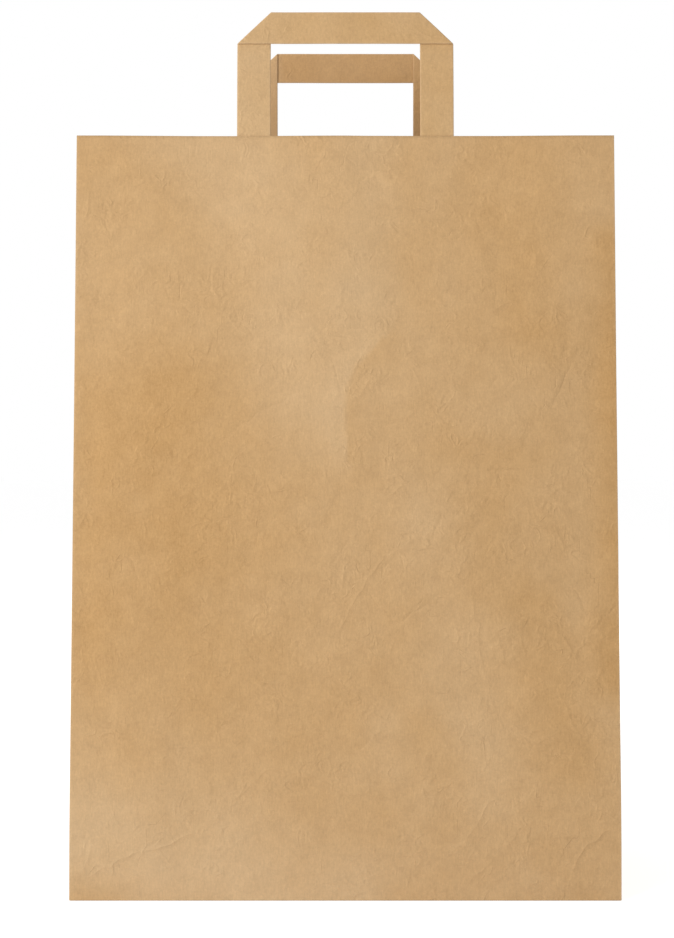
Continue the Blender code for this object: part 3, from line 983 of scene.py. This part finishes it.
def kraft_pulp(group, given):
    """Unbleached pulp: broad tone with painted light and shade, cloudy formation, blotches, fine grain and
    lying fibres
    """
    place = object_place(group)
    clouds = noise(group, place, *CLOUD_NOISE)
    blotches = noise(group, place, *BLOTCH_NOISE)
    grain = noise(group, place, *GRAIN_NOISE)
    fibres = []
    for turn in FIBRE_TURNS:
        lie = feed(group, put(group, "ShaderNodeMapping"), Vector=place, Rotation=turn, Scale=FIBRE_STRETCH)
        fibres.append(noise(group, lie.outputs[0], *FIBRE_NOISE))
    fibres = maths(group, "SUBTRACT", *fibres)
    clouds = swing(group, clouds, given["Clouds"])
    # The mesh's tone holds painted light and shade as well as the paper's own tone
    toned_and_shaded = maths(group, "ADD", mark_value(group, "tone_and_painted_light"), clouds)
    cut = maths(group, "ADD", swing(group, blotches, given["Blotches"]), swing(group, grain, given["Grain"]))
    cut = maths(group, "ADD", cut, maths(group, "MULTIPLY", fibres, given["Fibres"]))
    tint = put(group, "ShaderNodeCombineColor")
    for socket, tone_and_shade_depth, cut_depth in zip(tint.inputs, TONE_AND_SHADE_DEPTHS, CUT_DEPTHS):
        tone_and_shade_part = maths(group, "MULTIPLY", toned_and_shaded, tone_and_shade_depth)
        both = maths(group, "ADD", tone_and_shade_part, maths(group, "MULTIPLY", cut, cut_depth))
        group.links.new(maths(group, "ADD", both, 1.0), socket)
    scaled = put(group, "ShaderNodeVectorMath", operation="MULTIPLY")
    group.links.new(given["Colour"], scaled.inputs[0])
    group.links.new(tint.outputs[0], scaled.inputs[1])
    rough = maths(group, "ADD", maths(group, "MULTIPLY", grain, ROUGHNESS_SWING), LEAST_ROUGHNESS)
    height = maths(group, "ADD", grain, fibres)
    return {"Colour": scaled.outputs[0], "Height": height, "Roughness": rough}


def fold_wear(group, given):
    """Paper rubbed paler where it is folded."""
    broken = noise(group, object_place(group), *WEAR_NOISE)
    amount = maths(group, "MULTIPLY", mark_value(group, "fold_wear"), broken)
    amount = maths(group, "MULTIPLY", amount, given["Amount"])
    mix = feed(group, put(group, "ShaderNodeMix", data_type="RGBA"), Factor=amount)
    before, after = [socket for socket in mix.inputs if socket.type == "RGBA"]
    group.links.new(given["Colour"], before)
    after.default_value = WORN_COLOUR
    return {"Colour": [socket for socket in mix.outputs if socket.type == "RGBA"][0]}


def cockle(group, given):
    """Small uneven hills of paper that has been folded and opened."""
    return {"Height": noise(group, object_place(group), given["Size"], COCKLE_DETAIL)}


def crease(group, given):
    """The sharp creases, which the mesh marks by their distance and height."""
    distance = maths(group, "ABSOLUTE", mark_value(group, "crease_offset"), 0)
    part = maths(group, "MINIMUM", maths(group, "DIVIDE", distance, given["Reach"]), 1.0)
    fall = maths(group, "POWER", maths(group, "SUBTRACT", 1.0, part), 2.0)
    return {"Height": maths(group, "MULTIPLY", fall, mark_value(group, "crease_height"))}


def crinkle(group, given):
    """Fine crinkles that wander over handled paper and come and go."""
    place = object_place(group)
    waves = noise(group, place, given["Size"], *CRINKLE_NOISE)
    from_line = maths(group, "ABSOLUTE", maths(group, "SUBTRACT", waves, 0.5), 0)
    from_line = maths(group, "MULTIPLY", from_line, given["Sharpness"])
    line = maths(group, "SUBTRACT", 1.0, from_line, True)
    patches = maths(group, "SUBTRACT", noise(group, place, *CRINKLED_PATCH_NOISE), CRINKLED_PATCH_LEVEL)
    patches = maths(group, "MULTIPLY", patches, CRINKLED_PATCH_EDGE, True)
    return {"Height": maths(group, "MULTIPLY", line, patches)}


# A node group's nodes, and its inputs and outputs with their defaults, where four numbers are a colour
GROUPS = {
    "Kraft pulp": (
        kraft_pulp,
        {"Colour": KRAFT, "Clouds": 0.18, "Blotches": 0.24, "Grain": 0.26, "Fibres": 0.16},
        {"Colour": KRAFT, "Height": 0.0, "Roughness": 0.0},
    ),
    "Fold wear": (fold_wear, {"Colour": KRAFT, "Amount": 0.3}, {"Colour": KRAFT}),
    "Paper cockle": (cockle, {"Size": 60.0}, {"Height": 0.0}),
    "Paper crease": (crease, {"Reach": CREASE_REACH}, {"Height": 0.0}),
    "Paper crinkle": (crinkle, {"Size": 120.0, "Sharpness": 9.0}, {"Height": 0.0}),
}


def new_group(name):
    group = bpy.data.node_groups.new(name, "ShaderNodeTree")
    fill, inputs, outputs = GROUPS[name]
    for way, sockets in (("INPUT", inputs), ("OUTPUT", outputs)):
        for socket_name, default in sockets.items():
            kind = "NodeSocketColor" if isinstance(default, tuple) else "NodeSocketFloat"
            socket = group.interface.new_socket(name=socket_name, in_out=way, socket_type=kind)
            socket.default_value = default
    given = put(group, "NodeGroupInput").outputs
    feed(group, put(group, "NodeGroupOutput"), **fill(group, given))
    arrange(group)
    return group


def add_group(tree, name, **inputs):
    """A node of the group of this name, which is made when it is first wanted."""
    group = bpy.data.node_groups.get(name) or new_group(name)
    return feed(tree, put(tree, "ShaderNodeGroup", node_tree=group), **inputs)


def new_material(name):
    material = bpy.data.materials.new(name)
    material.use_nodes = True
    return material, material.node_tree, material.node_tree.nodes["Principled BSDF"]


def kraft_material(name, colour, surface):
    """Matte kraft paper with its own amount of blotches, grain, wear at folds and cockle."""
    material, tree, shader = new_material(name)
    pulp = add_group(tree, "Kraft pulp", Colour=(*colour, 1), Blotches=surface.blotches, Grain=surface.grain)
    rubbed = add_group(tree, "Fold wear", Colour=pulp.outputs["Colour"], Amount=surface.wear)
    feed(tree, shader, Base_Color=rubbed.outputs["Colour"], Roughness=pulp.outputs["Roughness"])
    layers = (
        (add_group(tree, "Paper cockle"), 1.0, surface.cockle),
        (add_group(tree, "Paper crease"), 1.0, CREASE_DEPTH),
        (add_group(tree, "Paper crinkle"), 1.0, CRINKLE_DEPTH),
        (pulp, GRAIN_STRENGTH, GRAIN_DEPTH),
    )
    below = {}
    for layer, strength, depth in layers:
        bump = put(tree, "ShaderNodeBump")
        feed(tree, bump, Strength=strength, Distance=depth, Height=layer.outputs["Height"], **below)
        below = {"Normal": bump.outputs["Normal"]}
    feed(tree, shader, Specular_IOR_Level=PAPER_SHEEN, **below)
    arrange(tree)
    return material


def seen_directly(tree):
    """1 where the camera sees a place, also in a mirror or through glass, and 0 where only light does."""
    rays = put(tree, "ShaderNodeLightPath").outputs
    seen = maths(tree, "MAXIMUM", rays["Is Camera Ray"], rays["Is Glossy Ray"])
    return maths(tree, "MAXIMUM", seen, rays["Is Transmission Ray"])


def white_stage_material():
    """White floor that shows as white to the camera and still takes the bag's shadow."""
    material, tree, shader = new_material("White stage")
    feed(tree, shader, Base_Color=(0.80, 0.80, 0.80, 1), Roughness=0.9, Specular_IOR_Level=0.1)
    glow = feed(tree, put(tree, "ShaderNodeEmission"), Strength=0.62)
    lifted = put(tree, "ShaderNodeAddShader")
    chosen = put(tree, "ShaderNodeMixShader")
    tree.links.new(seen_directly(tree), chosen.inputs[0])
    links = ((shader, lifted, 0), (glow, lifted, 1), (shader, chosen, 1), (lifted, chosen, 2))
    for source, target, k in links:
        tree.links.new(source.outputs[0], target.inputs[k])
    feed(tree, tree.nodes["Material Output"], Surface=chosen.outputs[0])
    arrange(tree)
    return material


class PAPERBAG_OT_body(bpy.types.Operator):
    """Builds the folded sheet with its gussets, seam and block bottom"""

    bl_idname = "paper_bag.body"
    bl_label = "Bag Body"

    def execute(self, context):
        settings = context.scene.paper_bag
        paper = kraft_material("Kraft sheet", settings.kraft_colour, SHEET_SURFACE)
        rows, doubled, corners, folds = sheet_rows()
        bm, rings = loft(rows, True, sheet_marks(rows, corners, folds), doubled)
        mark_sharp(rings, folds)
        weld(bm)
        sheet = new_object("folded_sheet", bm, paper)
        sheet.vertex_groups.new(name="seam")
        wall = thicken(sheet, 2 * PAPER, -1)
        wall.use_even_offset = False
        wall.vertex_group = "seam"
        wall.thickness_vertex_group = 0.5
        bottom = new_object("block_bottom", block_bottom(), paper)
        for piece in (sheet, bottom):
            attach(piece, "root")
        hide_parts("bag_body")
        return {"FINISHED"}


class PAPERBAG_OT_handles(bpy.types.Operator):
    """Builds the two handles of folded paper tape"""

    bl_idname = "paper_bag.handles"
    bl_label = "Tape Handles"

    def execute(self, context):
        settings = context.scene.paper_bag
        # The back tape's material is a shaded copy of the front tape's: its deeper colour is painted shade
        for side, colour in ((FRONT, settings.tape_colour), (BACK, settings.back_tape_shaded_colour)):
            tape = kraft_material(f"{side.name.title()} tape", colour, TAPE_SURFACE)
            handle = new_object(f"{side.name}_tape_handle", tape_body(side), tape, TAPE_SHARP_ANGLE)
            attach(handle, "root")
            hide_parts(f"{side.name}_handle")
        return {"FINISHED"}


class PAPERBAG_OT_patches(bpy.types.Operator):
    """Builds the reinforcing sheets glued over the handles' legs"""

    bl_idname = "paper_bag.patches"
    bl_label = "Patches"

    def execute(self, context):
        settings = context.scene.paper_bag
        paper = kraft_material("Patch sheet", settings.patch_colour, PATCH_SURFACE)
        for side in (FRONT, BACK):
            patch = new_object(f"{side.name}_glued_patch", patch_body(side), paper)
            thicken(patch, PATCH_PAPER, 0)
            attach(patch, "root")
            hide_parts(f"{side.name}_patch")
        return {"FINISHED"}


class PAPERBAG_OT_stage(bpy.types.Operator):
    """Sets up the white floor, the soft light and the camera"""

    bl_idname = "paper_bag.stage"
    bl_label = "Stage"

    def execute(self, context):
        settings = context.scene.paper_bag_stage
        scene = context.scene
        scene.view_settings.view_transform = "Standard"
        mesh = bpy.data.meshes.new("floor")
        corners = [(x * FLOOR_HALF, y * FLOOR_HALF, 0) for x, y in ((-1, -1), (1, -1), (1, 1), (-1, 1))]
        mesh.from_pydata(corners, [], [(0, 1, 2, 3)])
        mesh.materials.append(white_stage_material())
        floor = bpy.data.objects.new("floor", mesh)
        floor.location.z = -FLOOR_DROP
        scene.collection.objects.link(floor)
        self.add_light(scene, "key_light", settings.key_power, place=(-2.0, -1.9, 1.2), size=1.4)
        self.add_light(scene, "back_light", settings.back_power, place=(1.5, 2.3, 1.4), size=1.6)
        self.add_world(scene, settings.fill_strength)
        self.add_camera(scene)
        return {"FINISHED"}

    def add_light(self, scene, name, power, place, size):
        lamp = bpy.data.lights.new(name, "AREA")
        lamp.size = size
        lamp.energy = power
        light = bpy.data.objects.new(name, lamp)
        light.location = place
        aim = LIGHTS_AIM - Vector(place)
        light.rotation_euler = aim.to_track_quat("-Z", "Y").to_euler()
        scene.collection.objects.link(light)

    def add_world(self, scene, strength):
        world = bpy.data.worlds.new("White surround")
        scene.world = world
        world.use_nodes = True
        tree = world.node_tree
        level = maths(tree, "MULTIPLY", seen_directly(tree), 1 - strength)
        level = maths(tree, "ADD", level, strength)
        feed(tree, tree.nodes["Background"], Color=(1, 1, 1, 1), Strength=level)
        arrange(tree)

    def add_camera(self, scene):
        lens = bpy.data.cameras.new("photo_camera")
        lens.lens = 66.09
        lens.sensor_width = 36
        lens.shift_x = -0.00893
        lens.shift_y = -0.00256
        lens.clip_start = 0.05
        camera = bpy.data.objects.new("photo_camera", lens)
        camera.location = (0, -1.0823, 0.2515)
        camera.rotation_euler = (math.radians(90), 0, 0)
        scene.collection.objects.link(camera)
        scene.camera = camera


class PAPERBAG_PT_panel(bpy.types.Panel):
    """Lists the bag's settings and the steps that build it"""

    bl_idname = "PAPERBAG_PT_panel"
    bl_label = "Paper Carrier Bag"
    bl_space_type = "VIEW_3D"
    bl_region_type = "UI"
    bl_category = "Paper Bag"

    def draw(self, context):
        layout = self.layout
        for settings in (context.scene.paper_bag, context.scene.paper_bag_stage):
            for name in settings.__annotations__:
                layout.prop(settings, name)
        for operator in OPERATORS:
            layout.operator(operator.bl_idname)


OPERATORS = (PAPERBAG_OT_body, PAPERBAG_OT_handles, PAPERBAG_OT_patches, PAPERBAG_OT_stage)
CLASSES = (BagSettings, StageSettings, *OPERATORS, PAPERBAG_PT_panel)


def register():
    for cls in CLASSES:
        bpy.utils.register_class(cls)
    bpy.types.Scene.paper_bag = bpy.props.PointerProperty(type=BagSettings)
    bpy.types.Scene.paper_bag_stage = bpy.props.PointerProperty(type=StageSettings)


def unregister():
    del bpy.types.Scene.paper_bag_stage
    del bpy.types.Scene.paper_bag
    for cls in reversed(CLASSES):
        bpy.utils.unregister_class(cls)


def main():
    register()
    bpy.ops.paper_bag.body()
    bpy.ops.paper_bag.handles()
    bpy.ops.paper_bag.patches()
    bpy.ops.paper_bag.stage()


if __name__ == "__main__":
    main()
